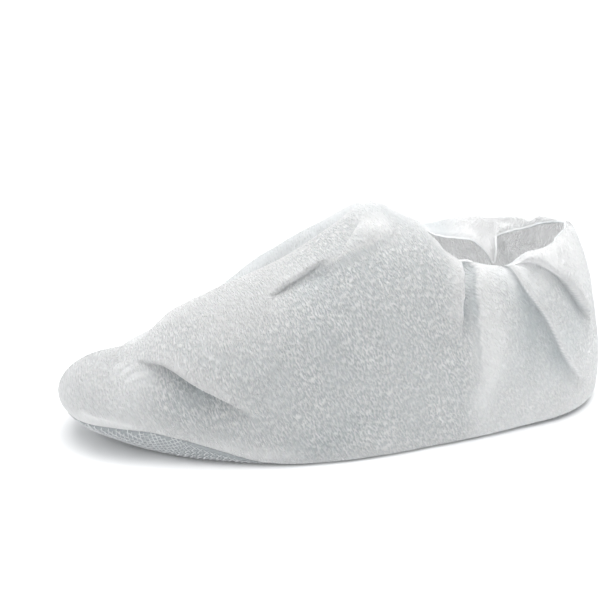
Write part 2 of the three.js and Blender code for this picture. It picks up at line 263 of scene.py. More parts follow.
def unit(v, least=1e-9):
    return v / np.maximum(np.linalg.norm(v, axis=-1, keepdims=True), least)


def through(place, value, at, straight):
    # a smooth curve through the values; both sides mirror each other at the toe and the heel, so
    # there it runs level, or straight on where the value changes sign
    last = len(place) - 1
    k = np.clip(np.searchsorted(place, at) - 1, 0, last - 1)
    span = place[k + 1] - place[k]

    def slope(i, j):
        return (value[j] - value[i]) / np.maximum(place[j] - place[i], 1e-9) * span

    ends = slope(k, k + 1) * (1.0 if straight else 0.0)
    slopeA = np.where(k > 0, slope(np.maximum(k - 1, 0), k + 1), ends)
    slopeB = np.where(k + 1 < last, slope(k, np.minimum(k + 2, last)), ends)
    t = (at - place[k]) / span
    t2 = t * t
    t3 = t2 * t
    return ((2 * t3 - 3 * t2 + 1) * value[k] + (t3 - 2 * t2 + t) * slopeA
            + (3 * t2 - 2 * t3) * value[k + 1] + (t3 - t2) * slopeB)


def column(name, at):
    return through(sectionRows[:, 0], sectionRows[:, sectionNames.index(name)], at, name in changesSign)


def sectionAt(at, side):
    hand = hands[side]
    turn = np.radians(column("turn", at))
    out = np.stack([np.cos(turn), hand * np.sin(turn), 0 * at], 1)
    up = np.array([0, 0, 1.0])
    crownUp = column("crownUp", at)
    crownOut = column("crownOut", at)
    for place, width, moreUp, moreOut in swellRows[side]:
        share = bell((at - place) / width)
        crownUp = crownUp + share * moreUp
        crownOut = crownOut + share * moreOut
    foot = np.stack([column("footX", at), hand * column("footY", at), column("footZ", at)], 1)
    belly = foot + out * column("bellyOut", at)[:, None] + up * column("bellyUp", at)[:, None]
    edgeY = np.where(at <= peakAt, 0, np.maximum(0, column("edgeY", at)))
    edge = np.stack([column("edgeX", at), hand * edgeY, column("edgeZ", at)], 1)
    crown = edge + out * crownOut[:, None] + up * crownUp[:, None]
    rim = rimRows[side]
    opens = at > peakAt
    rimX, rimY, rimZ = (through(rim[:, 0], rim[:, k], at, k == 2) for k in (1, 2, 3))
    edge[:, 0] = np.where(opens, rimX, edge[:, 0])
    edge[:, 1] = np.where(opens, hand * np.maximum(0, rimY), edge[:, 1])
    edge[:, 2] = np.where(opens, rimZ, edge[:, 2])
    return {"out": out, "foot": foot, "belly": belly, "crown": crown, "edge": edge,
            "flat": column("flat", at)}


# grid, wall and seams of a panel, how far its shape is held along the edges, how much the rim moves,
# where the elastic gathers it, and how gathers, pattern and painted light differ on the inside
panelSizes = {"front": 190, "back": 130, "rows": 134, "wall": 0.3, "seam": 0.01,
              "seamEase": 7, "soleEase": 9, "endEase": 0.05, "rimEase": 12, "openEase": 0.07,
              "rimShare": 0.45, "levelShare": 0.8, "relaxPasses": 3, "turnIn": 0.4, "turnInWide": 1.5,
              "gatherFrom": 0.8, "gatherEase": 0.08, "gatherReach": 24,
              "outerGather": 0.25, "innerGather": 1.2, "innerPress": 0.5, "innerPaintedLight": 1.2}
stations = np.concatenate([
    [0, 0.001, 0.003], np.linspace(0.006, peakAt, panelSizes["front"] - 3, endpoint=False),
    np.linspace(peakAt, 0.994, panelSizes["back"] - 2), [0.997, 0.999, 1]])
shares = np.concatenate([np.linspace(0, 0.994, panelSizes["rows"] - 1), [0.998, 1]])
# where the panels are sewn to the sole, up from the foot of the section: high round the toe,
# tucked under further back
seamRows = np.array([(0, 5), (0.08, 5.5), (0.16, 8), (0.24, 8.5), (0.31, 5), (0.38, 0), (0.46, -5),
                     (0.65, -6), (1, -6)])
# the groove that the instep seam lies in: at, its depth and width on the near and on the far side
grooveRows = np.array([(0, 0, 2, 0, 2), (0.27, 0.1, 2, 0.1, 2), (0.33, 0.5, 3, 1.2, 5),
                       (0.4, 0.8, 4, 4.0, 9), (0.54, 0.8, 4, 4.0, 9), (0.6, 0.5, 3, 0.8, 5),
                       (0.64, 0.2, 2, 0.2, 3), (1, 0.2, 2, 0.2, 2)])
# the sole: ends of its spine, rings, wall, room for the net below it, gap to the panels
soleSizes = {"toe": -88, "heel": 122, "flatRings": 14, "rollRings": 12, "wall": 1.1, "grip": 0.5,
             "gap": 0.1, "weld": 1e-6, "sliver": 1e-7}
rollSteps = 40  # fine steps of the sole margin and of the panel in a section
panelSteps = 200


def rollCurve(c, t):
    # the sole's margin: flat from the spine, then turned up into the foot of the panel
    foot = c["foot"]
    climb = unit(c["belly"] - foot)
    spineX = np.clip(foot[:, 0], soleSizes["toe"], soleSizes["heel"])
    spine = np.stack([spineX, 0 * spineX, 0 * spineX], 1)
    flatEnd = spine + (foot * (1, 1, 0) - spine) * c["flat"][:, None]
    turnUp = foot - climb * (foot[:, 2:] / climb[:, 2:])
    flatEnd, turnUp, foot = (v[:, None, :] for v in (flatEnd, turnUp, foot))
    return spine, flatEnd[:, 0], flatEnd * (1 - t) ** 2 + turnUp * 2 * t * (1 - t) + foot * t * t


def sideCurve(side, at):
    # sole margin and panel as one line for each station, measured from the foot
    c = sectionAt(at, side)
    t = np.linspace(0, 1, panelSteps + 1)[None, :, None]
    foot, belly, crown, edge = (c[k][:, None, :] for k in ("foot", "belly", "crown", "edge"))
    panel = (foot * (1 - t) ** 3 + belly * 3 * t * (1 - t) ** 2
             + crown * 3 * t * t * (1 - t) + edge * t ** 3)
    spine, flatEnd, roll = rollCurve(c, np.linspace(0, 1, rollSteps + 1)[None, :, None])
    line = np.concatenate([roll[:, :-1], panel], 1)
    steps = np.linalg.norm(np.diff(line, axis=1), axis=2)
    run = np.concatenate([np.zeros((len(at), 1)), np.cumsum(steps, 1)], 1)
    run -= run[:, rollSteps:rollSteps + 1]
    return c, spine, flatEnd, line, run


def alongLine(line, run, wanted):
    grid = np.empty((len(line), wanted.shape[1], 3))
    for i in range(len(line)):
        for axis in range(3):
            grid[i, :, axis] = np.interp(wanted[i], run[i], line[i, :, axis])
    return grid


def panelGrid(side):
    c, _, _, line, run = sideCurve(side, stations)
    low = np.interp(stations, seamRows[:, 0], seamRows[:, 1])[:, None]
    share = shares[None, :]
    wanted = low + (run[:, -1:] - low) * share
    return alongLine(line, run, wanted), c["out"], wanted - low, run[:, -1:] - wanted


def gridNormals(grid, hand):
    normal = -hand * np.cross(np.gradient(grid, axis=0), np.gradient(grid, axis=1))
    return unit(normal, 1e-12)


# folds: a line through places on the cloth (x, y, z). rise and fall say how far the cloth stands out on
# the left and right of the way it runs, reach how far that dies away, edge is half the width of the
# turn, over how far the proud side laps over the other, open the ends that don't fade (1 start,
# 2 end), taper the share of its length over which it fades, paintedShadeReach how far the painted shade
# beside a lip reaches, paintedLipWide how wide the painted highlight on the lip shows
foldNames = ("line", "rise", "riseReach", "fall", "fallReach", "soft", "edge", "over", "open", "taper",
             "paintedShadeReach", "paintedLipWide")
foldRows = {
    "left": {
        "toePleat": ([(-122, -15, 53), (-108, -32, 54), (-91, -50, 47), (-68, -61, 37), (-48, -65, 29)],
                     4, 22, -9, 17, 1.3, 1.2, 8, 0, 0.4, 16, 7),
        "vampPleat": ([(-46, -34, 92), (-24, -32, 103), (-2, -30, 114)],
                      2, 10, -4, 18, 1.3, 0.9, 6.5, 0, 0.3, 14, 2.5),
        "tongue": ([(-8, -32, 111), (-1, -30, 116), (8, -22, 125), (17, -12, 132)],
                   -1.8, 8, 2.5, 16, 1.5, 1.0, 4, 0, 0.35, 5, 2),
        "underTongue": ([(-6, -31, 112), (15, -35, 120), (38, -20, 127)],
                        2.5, 10, -3, 16, 1.5, 5, 0, 1, 0.4, 9, 2),
        "gather": ([(76, -31, 103), (74, -44, 96), (72, -51, 85), (69, -55, 72), (67, -58, 58)],
                   -8, 8, 5, 9, 1.8, 1.0, 5, 1, 0.5, 9, 8),
        "gatherRight": ([(81, -31, 102), (78, -45, 94), (78, -53, 82), (78, -57, 66), (79, -58, 38)],
                        3.5, 13, -2.5, 7, 1.6, 1.1, 1, 1, 0.3, 4, 13),
        "heelBand": ([(86, -54, 76), (86, -57, 56), (90, -57, 30)],
                     2.5, 12, 2.5, 10, 2, 3, 0, 0, 0.35, 5, 3),
        "heelRidge": ([(99.6, -33.5, 100), (103.8, -44, 95), (108.7, -48, 86), (116, -49, 76),
                       (122, -49, 65.4), (133, -47, 42.6), (143, -42.7, 28.7), (155.7, -32.3, 16)],
                      3.5, 20, -6.5, 15, 1.1, 1.0, 5, 1, 0.25, 24, 1.8),
        "heelRoll": ([(103, -33, 102), (110, -36, 102), (118, -40, 98), (131, -41, 89), (144, -38, 72),
                      (157, -29, 56)], 4, 16, -7, 12, 1.4, 1.2, 8, 0, 0.22, 11, 3),
        "heelWrinkle": ([(100, -35, 100), (105, -37, 100), (109, -40, 99), (112, -43, 96)],
                        1.2, 2.5, -1.2, 2.5, 2, 0.9, 1, 0, 0.3, 3, 1.2),
        "heelWrinkleLow": ([(99.5, -39.4, 98.7), (103, -40, 98.5), (106, -42, 97)],
                           0.9, 2, -0.9, 2, 2, 0.9, 0.8, 0, 0.3, 3, 1),
        "toeWrinkle": ([(-135, -21.4, 45.6), (-127.5, -17.7, 49.7), (-119.4, -17.7, 53.6)],
                       0.7, 3.5, -0.7, 3.5, 2, 1.2, 0, 0, 0.4, 4, 1.5),
        "toeWrinkleMid": ([(-132.7, -26.8, 42.8), (-125, -23.6, 48.3), (-115, -26.3, 53.6)],
                          0.7, 3.5, -0.7, 3.5, 2, 1.2, 0, 0, 0.4, 4, 1.5),
        "toeWrinkleLow": ([(-128, -30.5, 42.8), (-120, -30.4, 47.8), (-109.6, -34.6, 52.4)],
                          0.8, 3.5, -0.8, 3.5, 2, 1.2, 0, 0, 0.4, 4, 1.5),
        "toeFold": ([(-158, -18, 29), (-146, -33, 28), (-134, -40, 27), (-118, -48, 25)],
                    -1.4, 7, 1.8, 4, 1.6, 1.0, 1.5, 0, 0.3, 6, 2),
        "soleRoll": ([(-92, -55, 18), (-60, -64, 10), (-22, -71, 9)],
                     1.4, 6, 1.2, 5, 2, 3, 0, 0, 0.25, 4, 2),
        "tack": ([(-82, -3, 83), (-76, -3, 86), (-69, -4, 90)],
                 1.6, 3, 1.6, 3, 2, 2, 0, 0, 0.45, 3, 2),
    },
    "right": {
        "toePleat": ([(-116, 20, 52), (-90, 48, 43), (-56, 62, 28)],
                     -4, 18, 2.5, 24, 1.3, 2.0, 3, 0, 0.35, 14, 3),
        "vampPleat": ([(-40, 38, 90), (-14, 40, 98), (14, 40, 106)],
                      -3.5, 16, 3.5, 14, 1.6, 1.8, 3, 0, 0.3, 13, 2.5),
        "gather": ([(70, 42, 96), (66, 54, 78), (56, 62, 48)],
                   4, 16, -3.5, 9, 1.5, 1.8, 1.5, 0, 0.3, 7, 2.5),
        "gatherBand": ([(92, 44, 94), (92, 54, 72), (96, 57, 36)],
                       3, 12, 3, 9, 2, 3, 0, 0, 0.3, 4, 2.5),
        "heelRidge": ([(112, 42, 96), (126, 48, 72), (154, 33, 22)],
                      4, 16, -2.5, 13, 1.1, 1.4, 0.8, 0, 0.25, 11, 2),
        "sideCrease": ([(132, 27, 101), (136, 36, 92), (139, 42, 76)],
                       -4, 2.4, -4, 2.4, 2, 1, 0, 1, 0.4, 3, 2),
    },
}
# steps along a fold and how many ease its line, distances in which the offset counts as it is, the
# least share of it beyond, how far a lap reaches, the height that makes a full painted lip, the lip's
# turn, how much painted shade the cloth under it gets and how far the pattern is pressed out
foldSizes = {"steps": 160, "easeSteps": 6, "sure": 12, "leastOffset": 0.6, "lapReach": 0.45,
             "fullLip": 8, "lipTurn": 1.6, "underPaintedShade": 0.85, "plainReach": 5, "plain": 0.7}


def foldLine(points, places):
    # a smooth line through the places, laid onto the cloth
    s = foldSizes
    reach = np.concatenate([[0], np.cumsum(np.linalg.norm(np.diff(places, axis=0), axis=1))])
    t = np.linspace(0, reach[-1], s["steps"])
    drawn = np.stack([through(reach, places[:, axis], t, True) for axis in range(3)], 1)
    gap = (points ** 2).sum(1)[None] + (drawn ** 2).sum(1)[:, None] - 2 * drawn @ points.T
    line = points[gap.argmin(1)]
    window = np.ones(2 * s["easeSteps"] + 1)
    for axis in range(3):  # eased so that it doesn't follow the grid
        padded = np.pad(line[:, axis], s["easeSteps"], mode="edge")
        line[:, axis] = np.convolve(padded, window / len(window), "valid")
    return line


def foldMove(grid, normals, towards, row, hand):
    # how a fold moves the cloth, where it presses the pattern out, and where painted light whitens its
    # lip and painted shade darkens the cloth beside it
    s = foldSizes
    f = dict(zip(foldNames, row))
    points = grid.reshape(-1, 3)
    line = foldLine(points, np.array(f["line"], float))
    ahead = unit(np.gradient(line, axis=0))
    far = (points ** 2).sum(1)[:, None] + (line ** 2).sum(1)[None] - 2 * points @ line.T
    near = far.argmin(1)
    distance = np.sqrt(np.maximum(far[np.arange(len(points)), near], 0))
    leftwards = unit(-hand * np.cross(normals.reshape(-1, 3), ahead[near]))
    away = ((points - line[near]) * leftwards).sum(1)
    inside = (near > 0) & (near < s["steps"] - 1)
    d = np.where(inside, np.maximum(np.abs(away), distance * s["leastOffset"]), distance) * np.sign(away)
    d = np.where(inside & (distance < s["sure"]), away, d)
    along = near / (s["steps"] - 1)
    ends = smooth(along / f["taper"]) if not f["open"] & 1 else 1.0
    ends = ends * (smooth((1 - along) / f["taper"]) if not f["open"] & 2 else 1.0)
    step = f["rise"] - f["fall"]
    d = d - np.sign(step) * f["over"] * ends  # so the lip comes to lie on the line
    left = smooth(d / f["edge"] / 2 + 0.5)
    fadeLeft = np.exp(-(np.maximum(d, 0) / f["riseReach"]) ** f["soft"])
    fadeRight = np.exp(-(np.maximum(-d, 0) / f["fallReach"]) ** f["soft"])
    height = ends * (left * f["rise"] * fadeLeft + (1 - left) * f["fall"] * fadeRight)
    if step > 0:
        lap = -left * np.exp(-np.maximum(d, 0) / (s["lapReach"] * f["riseReach"]))
    else:
        lap = (1 - left) * np.exp(-np.maximum(-d, 0) / (s["lapReach"] * f["fallReach"]))
    move = towards.reshape(-1, 3) * height[:, None] + leftwards * (ends * f["over"] * lap)[:, None]
    # painted highlight on the lip, and painted shade on the cloth under it
    proud = d * np.sign(step)
    much = ends ** 2 * min(1.0, abs(step) / s["fullLip"])
    turn = smooth(proud / s["lipTurn"] + 0.5)
    lip = much * bell(np.maximum(proud, 0) / f["paintedLipWide"]) * turn
    under = s["underPaintedShade"] * much * np.exp(np.minimum(proud, 0) / f["paintedShadeReach"]) * (1 - turn)
    plain = s["plain"] * ends * bell(d / s["plainReach"])
    shape = grid.shape[:2]
    return move.reshape(grid.shape), plain.reshape(shape), (lip - under).reshape(shape)


# small gathers that the elastic pulls along the opening: count, height, reach down the cloth
gatherRows = [(7, 0.5, 22), (17, 0.35, 13), (37, 0.2, 8)]
# soft unevenness of the cloth: size of the dents, height
dentRows = [(34, 0.9), (15, 0.4), (7, 0.16)]
dentSeeds = {"left": 1, "right": 2}
dentShift = (37.1, 11.7, 5.3)
# painted light and shade, where the cloth is whitened or darkened for the light it gets, and how plain
# the pattern is pressed there: at, width, distance below the edge, reach, amount (minus for painted
# shade), how plain
paintedLightAndPlainRows = {
    "left": [(0.4, 0.13, 6, 30, 0.65, 0), (0.28, 0.07, 2, 13, 0.6, 0.8), (0.41, 0.07, 32, 18, 0.95, 0),
             (0.63, 0.035, 0, 22, 0.35, 0.6), (0.638, 0.04, 7, 10, -1.1, 0),
             (0.625, 0.02, 24, 14, 0.3, 0.7), (0.728, 0.014, 10, 16, 0.65, 0.8),
             (0.768, 0.014, 62, 40, 0.5, 0.6), (0.803, 0.014, 14, 14, 0.4, 0.7),
             (0.875, 0.055, 8, 14, 0.7, 0.8), (0.93, 0.04, 16, 16, 0.3, 0.7),
             (0.856, 0.02, 22, 7, 0.4, 0.4), (0.88, 0.08, 104, 18, 0.4, 0),
             (0.895, 0.045, 60, 24, -0.45, 0), (0.826, 0.022, 52, 26, -0.4, 0),
             (0.52, 0.13, 142, 14, -0.45, 0), (0.3, 0.05, 66, 14, -0.2, 0),
             (0.54, 0.14, 85, 40, -0.15, 0)],
    "right": [(0.48, 0.2, 20, 40, -0.7, 0), (0.78, 0.07, 10, 34, 1.0, 0.5),
              (0.74, 0.035, 12, 30, -1.5, 0)],
}
# how much of the pattern is left at the toe, heel, rim, instep seam, sole and tongue, and over what way
pressSizes = {"toeLeast": 0.35, "toeX": -130, "toeEase": 35, "heelLoss": 0.6, "heelX": 64,
              "heelEase": 16, "rimLeast": 0.15, "rimEase": 26, "seamLeast": 0.5, "seamEase": 12,
              "soleLeast": 0.35, "soleEase": 16, "tongueAt": 0.63, "tongueWide": 0.05,
              "tongueDown": 18, "tongueLoss": 0.8, "farLeast": 0.2, "farDown": 12, "farEase": 25}
# where the far flap ends the cloth turns sharply and is eased more
flapEnd = {"at": 0.822, "wide": 0.02, "from": 0.55, "over": 0.15, "passes": 60}


def dents(points, seed):
    total = np.zeros(len(points))
    shift = Vector([seed * v for v in dentShift])
    for size, height in dentRows:
        total += height * np.array([noise.noise(Vector(p) / size + shift) for p in points])
    return total


def relax(grid, passes):
    # takes the steps of the grid out of slanting folds, and leaves the edges where they are
    for _ in range(passes):
        middle = (grid[:-2, 1:-1] + grid[2:, 1:-1] + grid[1:-1, :-2] + grid[1:-1, 2:]) / 4
        grid[1:-1, 1:-1] = (grid[1:-1, 1:-1] + middle) / 2
    return grid


def pressed(side, grid, above, below):
    # how strongly the pattern is pressed into the cloth: most in the middle of a side
    p = pressSizes
    x = grid[:, :, 0]
    at = stations[:, None]
    toe = atLeast(p["toeLeast"], smooth((x - p["toeX"]) / p["toeEase"]))
    heel = 1 - p["heelLoss"] * smooth((x - p["heelX"]) / p["heelEase"])
    rim = atLeast(p["rimLeast"], smooth(below / p["rimEase"]))
    seam = atLeast(p["seamLeast"], smooth(below / p["seamEase"]))
    sole = atLeast(p["soleLeast"], smooth(above / p["soleEase"]))
    tongue = bell((at - p["tongueAt"]) / p["tongueWide"])
    tongue = tongue * (1 - smooth((below - p["tongueDown"]) / p["tongueDown"]))
    press = toe * heel * np.where(at > peakAt, rim, seam) * sole * (1 - p["tongueLoss"] * tongue)
    if side == "right":  # drawn smooth over the instep
        press *= atLeast(p["farLeast"], smooth((below - p["farDown"]) / p["farEase"]))
    return press


def cutPlaces(grid, above, below):
    # each point's place on the flat cut, and how much the elastic gathers the cloth there
    steps = np.linalg.norm(np.diff(grid, axis=0), axis=2)
    run = np.concatenate([np.zeros((1, grid.shape[1])), np.cumsum(steps, 0)])
    s = panelSizes
    run -= run[s["front"]]
    gather = smooth((stations[:, None] - s["gatherFrom"]) / s["gatherEase"])
    gather = gather * np.exp(-below / s["gatherReach"])
    return np.stack([run, above, gather], 2)


def elasticWave(at, below, hand):
    # rows of uneven gathers, each started elsewhere so that they don't line up
    wave = np.zeros_like(below)
    for k, (count, height, reach) in enumerate(gatherRows):
        turn = 2 * np.pi * count * (at - peakAt) / (1 - peakAt) + k * 1.3 + 0.4 * hand
        wave += height * np.sin(turn + 0.6 * np.sin(turn * 0.37)) * np.exp(-below / reach)
    return wave


def sewEdges(side, folded, normals, above, below, opening):
    # the sewn edges turn in a little, so each seam lies in a shallow groove
    s = panelSizes
    at = stations[:, None]
    first = 1 if side == "left" else 3
    depth = np.interp(at, grooveRows[:, 0], grooveRows[:, first]) * (1 - opening)
    wide = np.interp(at, grooveRows[:, 0], grooveRows[:, first + 1])
    turnIn = s["turnIn"] * bell(above / s["turnInWide"])
    folded -= normals * (depth * bell(below / wide) + turnIn)[:, :, None]
    # both turned-in edges meet at the bottom of the groove, so the instep seam is closed
    right = panelGrid("right")[0]
    down = np.interp(at, grooveRows[:, 0], grooveRows[:, 3])
    meet = (right[:, -1] - gridNormals(right, 1)[:, -1] * down) * (1, 0, 1)
    folded[:, -1] = np.where(at <= peakAt, meet, folded[:, -1])
    folded[:, :, 1] = hands[side] * np.maximum(hands[side] * folded[:, :, 1], s["seam"])


def foldedGrid(side):
    hand = hands[side]
    s = panelSizes
    grid, out, above, below = panelGrid(side)
    normals = gridNormals(grid, hand)
    at = stations[:, None]
    opening = smooth((at - peakAt) / s["openEase"])
    # the cloth can't move at the seams, and only in part at the rim
    free = np.maximum(smooth(below / s["seamEase"]), s["rimShare"] * opening)
    atRim = s["rimShare"] * opening + (1 - s["rimShare"]) * smooth(below / s["rimEase"])
    free = np.where(at > peakAt, np.maximum(free, atRim), free)
    ease = smooth(np.minimum(at, 1 - at) / s["endEase"]) * free * smooth(above / s["soleEase"])
    # near the rim the cloth moves level, because its own normal points up there
    level = (opening * (1 - smooth(below / s["rimEase"])))[:, :, None] * s["levelShare"]
    towards = normals * (1 - level) + out[:, None, :] * level
    move = np.zeros_like(grid)
    press = pressed(side, grid, above, below)
    paintedLightAndShade = np.zeros_like(below)
    # each fold also gives painted light on its lip and painted shade on the cloth beside it
    for row in foldRows[side].values():
        step, plain, paintedLipAndShade = foldMove(grid, normals, towards, row, hand)
        move += step
        press *= 1 - plain
        paintedLightAndShade += paintedLipAndShade
    # rows of painted light and painted shade, and where the pattern is pressed plain
    for place, wide, down, reach, amount, plain in paintedLightAndPlainRows[side]:
        share = bell((at - place) / wide) * bell((below - down) / reach)
        paintedLightAndShade += amount * share
        press *= 1 - plain * share
    wave = elasticWave(at, below, hand) * opening
    rough = dents(grid.reshape(-1, 3), dentSeeds[side]).reshape(below.shape)
    folded = grid + ease[:, :, None] * (move + normals * rough[:, :, None]) + towards * wave[:, :, None]
    folded = relax(folded, s["relaxPasses"])
    if side == "right":
        high = smooth((shares[None, :] - flapEnd["from"]) / flapEnd["over"])
        eased = (bell((at - flapEnd["at"]) / flapEnd["wide"]) * high)[:, :, None]
        folded = folded * (1 - eased) + relax(folded.copy(), flapEnd["passes"]) * eased
    sewEdges(side, folded, normals, above, below, opening)
    paintedLightAndShade = np.clip(paintedLightAndShade * smooth(above / s["soleEase"]), -1, 1)
    return folded, press, paintedLightAndShade, cutPlaces(grid, above, below)


def addPiece(name, points, faces, finish, rounded=None, press=None, paintedLightAndShade=None, cut=None):
    mesh = bpy.data.meshes.new(name)
    mesh.from_pydata(points, [], faces)
    rounded = len(faces) if rounded is None else rounded
    mesh.polygons.foreach_set("use_smooth", [k < rounded for k in range(len(faces))])
    for mark, values in (("press", press), ("paintedLightAndShade", paintedLightAndShade)):
        if values is not None:
            mesh.attributes.new(mark, "FLOAT", "POINT").data.foreach_set("value", values)
    if cut is not None:
        mesh.attributes.new("cut", "FLOAT_VECTOR", "POINT").data.foreach_set("vector", cut.ravel())
    mesh.materials.append(finish)
    mesh.update()
    piece = bpy.data.objects.new(name, mesh)
    scene.collection.objects.link(piece)
    return piece


def shellFaces(columns, rows, flip):
    ids = np.arange(2 * columns * rows).reshape(2, columns, rows)
    a, b = ids[0], ids[1]

    def quads(p, q, r, t):
        return np.stack([p.ravel(), q.ravel(), r.ravel(), t.ravel()], 1)

    faces = [
        quads(a[:-1, :-1], a[1:, :-1], a[1:, 1:], a[:-1, 1:]),
        quads(b[:-1, :-1], b[:-1, 1:], b[1:, 1:], b[1:, :-1]),
        quads(a[1:, 0], a[:-1, 0], b[:-1, 0], b[1:, 0]),
        quads(a[:-1, -1], a[1:, -1], b[1:, -1], b[:-1, -1]),
        quads(a[0, :-1], a[0, 1:], b[0, 1:], b[0, :-1]),
        quads(a[-1, 1:], a[-1, :-1], b[-1, :-1], b[-1, 1:]),
    ]
    rounded = len(faces[0]) + len(faces[1])
    faces = np.concatenate(faces)
    return (faces[:, ::-1] if flip else faces).tolist(), rounded


clothTones = {"light": (0.985, 0.99, 0.992, 1), "dark": (0.48, 0.515, 0.53, 1)}
# sizes of the pressed strokes and of the fine gathers, how they lean, how high they stand, and how much
# each thing darkens or whitens the cloth: painted shade in the strokes and in the gathers' creases, and
# the painted light and shade of folds and rows
clothLook = {"cloud": 42, "strokeSize": (0.0011, 0.003, 1), "strokeLean": 0.52,
             "combSize": (0.0016, 0.02, 1), "combLean": -0.5, "patchLeast": 0.45, "pressLeast": 0.08,
             "pleatHigh": 0.9, "strokePaintedShade": 0.95, "cloudGrey": 0.2, "cloudPress": 0.4,
             "plainGrey": 0.26, "pleatPaintedShade": 0.4, "allGrey": 0.04, "paintedLightAndShadeWeight": 0.7, "depth": 0.77}


def clothFinish(name, tones, emboss):
    k = clothLook
    finish, shader, w = newFinish(name, Subsurface_Weight=1.0, Subsurface_Radius=(1.0, 1.0, 1.0),
                                  Subsurface_Scale=0.002, Sheen_Weight=0.05)
    place = w.make("ShaderNodeTexCoord", out="Object")
    press = w.mark("press")
    paintedLightAndShade = w.mark("paintedLightAndShade")
    cut = w.mark("cut", "Vector")
    gather = w.make("ShaderNodeSeparateXYZ", {}, {"Vector": cut}, out="Z") * 1000
    flat = w.make("ShaderNodeVectorMath", {"operation": "MULTIPLY"}, {0: cut, 1: (1, 1, 0)})
    cloud = w.noise(place, k["cloud"], detail=5, Roughness=0.6)
    # short strokes pressed into the cloth, longer than wide and leaning, in loose patches
    lean = w.turned(flat, k["strokeLean"], k["strokeSize"])
    strokes = w.noise(lean, scale=1, detail=1.0, Roughness=0.5, Distortion=0.2).span(0.34, 0.66)
    patch = cloud.span(0.32, 0.6) * (1 - k["patchLeast"]) + k["patchLeast"]
    # fine gathers that run away from the elastic
    comb = w.turned(flat, k["combLean"], k["combSize"])
    pleats = w.noise(comb, scale=1, detail=1.5).span(0.35, 0.65)
    shown = press * (1 - k["pressLeast"]) + k["pressLeast"]
    relief = strokes * patch * shown + pleats * gather * k["pleatHigh"]
    # painted shade in the pressed strokes: their relief barely shows through the light scattered under
    # the surface
    shade = (1 - strokes) * patch * press * k["strokePaintedShade"]
    shade = shade + (1 - cloud.span(0.3, 0.66)) * (press * k["cloudPress"] + k["cloudGrey"])
    # plain cloth is a little darker, and the creases between the fine gathers get painted shade
    shade = shade + (1 - press) * k["plainGrey"] + (1 - pleats) * gather * k["pleatPaintedShade"]
    # the painted light and shade of lips, folds and rows whitens or darkens the colour
    shade = (shade + k["allGrey"] - paintedLightAndShade * k["paintedLightAndShadeWeight"]) * k["depth"]
    feed(finish, shader, Base_Color=shade.tint(tones["light"], tones["dark"]),
         Roughness=0.82 - strokes * 0.12, Normal=w.bump(relief, emboss))
    return finish


upperCloth = clothFinish("upperCloth", clothTones, emboss=0.005)


def makePanel(side, shift):
    hand = hands[side]
    s = panelSizes
    outer, press, paintedLightAndShade, cut = foldedGrid(side)
    inner = outer - gridNormals(outer, hand) * s["wall"]
    inner[:, :, 1] = hand * np.maximum(hand * inner[:, :, 1], s["seam"])
    points = np.concatenate([outer.reshape(-1, 3), inner.reshape(-1, 3)]) * mm + shift
    faces, rounded = shellFaces(*outer.shape[:2], side == "right")
    press = np.concatenate([press.ravel(), s["innerPress"] * press.ravel()])
    gathers = (s["outerGather"], s["innerGather"])
    cut = np.concatenate([(cut * (1, 1, much)).reshape(-1, 3) for much in gathers]) * mm
    # the inside faces get painted light, so the shaded inside of the cover looks bright
    paintedLightAndShade = np.concatenate([paintedLightAndShade.ravel(), np.full(paintedLightAndShade.size, s["innerPaintedLight"])])
    piece = addPiece(side + "_panel_cloth", points.tolist(), faces, upperCloth,
                     rounded, press, paintedLightAndShade, cut)
    return piece, outer, inner


def soleLines(side, s):
    at = stations[::2]
    _, spine, flatEnd, line, run = sideCurve(side, at)
    seam = np.interp(at, seamRows[:, 0], seamRows[:, 1])[:, None] - s["gap"]
    share = np.linspace(0, 1, s["rollRings"] + 1)[None, :]
    roll = alongLine(line, run, run[:, :1] + (seam - run[:, :1]) * share)
    flat = np.linspace(0, 1, s["flatRings"], endpoint=False)[None, :, None]
    return np.concatenate([spine[:, None] + (flatEnd - spine)[:, None] * flat, roll], 1)


def soleNormals(lines):
    ahead = np.gradient(lines, axis=1)
    flat = unit((lines[:, -1] - lines[:, 0]) * (1, 1, 0))
    reach = (ahead * flat[:, None]).sum(2, keepdims=True)
    return unit(np.array([0, 0, 1.0]) * reach - flat[:, None] * ahead[:, :, 2:])


def soleLoop(s):
    # lines from the spine to the seam, all round the sole, and the way up into the cover
    halves = [soleLines(side, s) for side in ("left", "right")]
    normals = [soleNormals(lines) for lines in halves]
    return [np.concatenate([left, right[-2:0:-1]]) for left, right in (halves, normals)]


solidToe = 0.305  # how far behind the foot of the first section the solid's toe lies


def tableShift():
    # from the table's own frame to the part's: the toe of the sole is where the solid has it
    foot = sectionAt(np.array([0.0]), "left")["foot"][0]
    return np.array([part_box("sole")[0].x - (foot[0] + solidToe) * mm, 0, 0])


shift = tableShift()
print("table frame moved by", (shift * 1000).round(2).tolist())

leftPanel, leftOuter, leftInner = makePanel("left", shift)
rightPanel, rightOuter, rightInner = makePanel("right", shift)
print("panels made", len(leftPanel.data.polygons) * 2, "triangles each")

soleTones = {"light": (0.94, 0.95, 0.955, 1), "dark": (0.29, 0.31, 0.32, 1)}  # inside, underside


def soleFinish(tones):
    finish, shader, w = newFinish("soleCloth", Roughness=0.75)
    place = w.make("ShaderNodeTexCoord", out="Object")
    weave = w.noise(place, scale=900)
    under = w.mark("press") * (0.8 + weave * 0.4)
    feed(finish, shader, Base_Color=under.tint(tones["light"], tones["dark"]),
         Normal=w.bump(weave, 0.0002))
    return finish


soleCloth = soleFinish(soleTones)


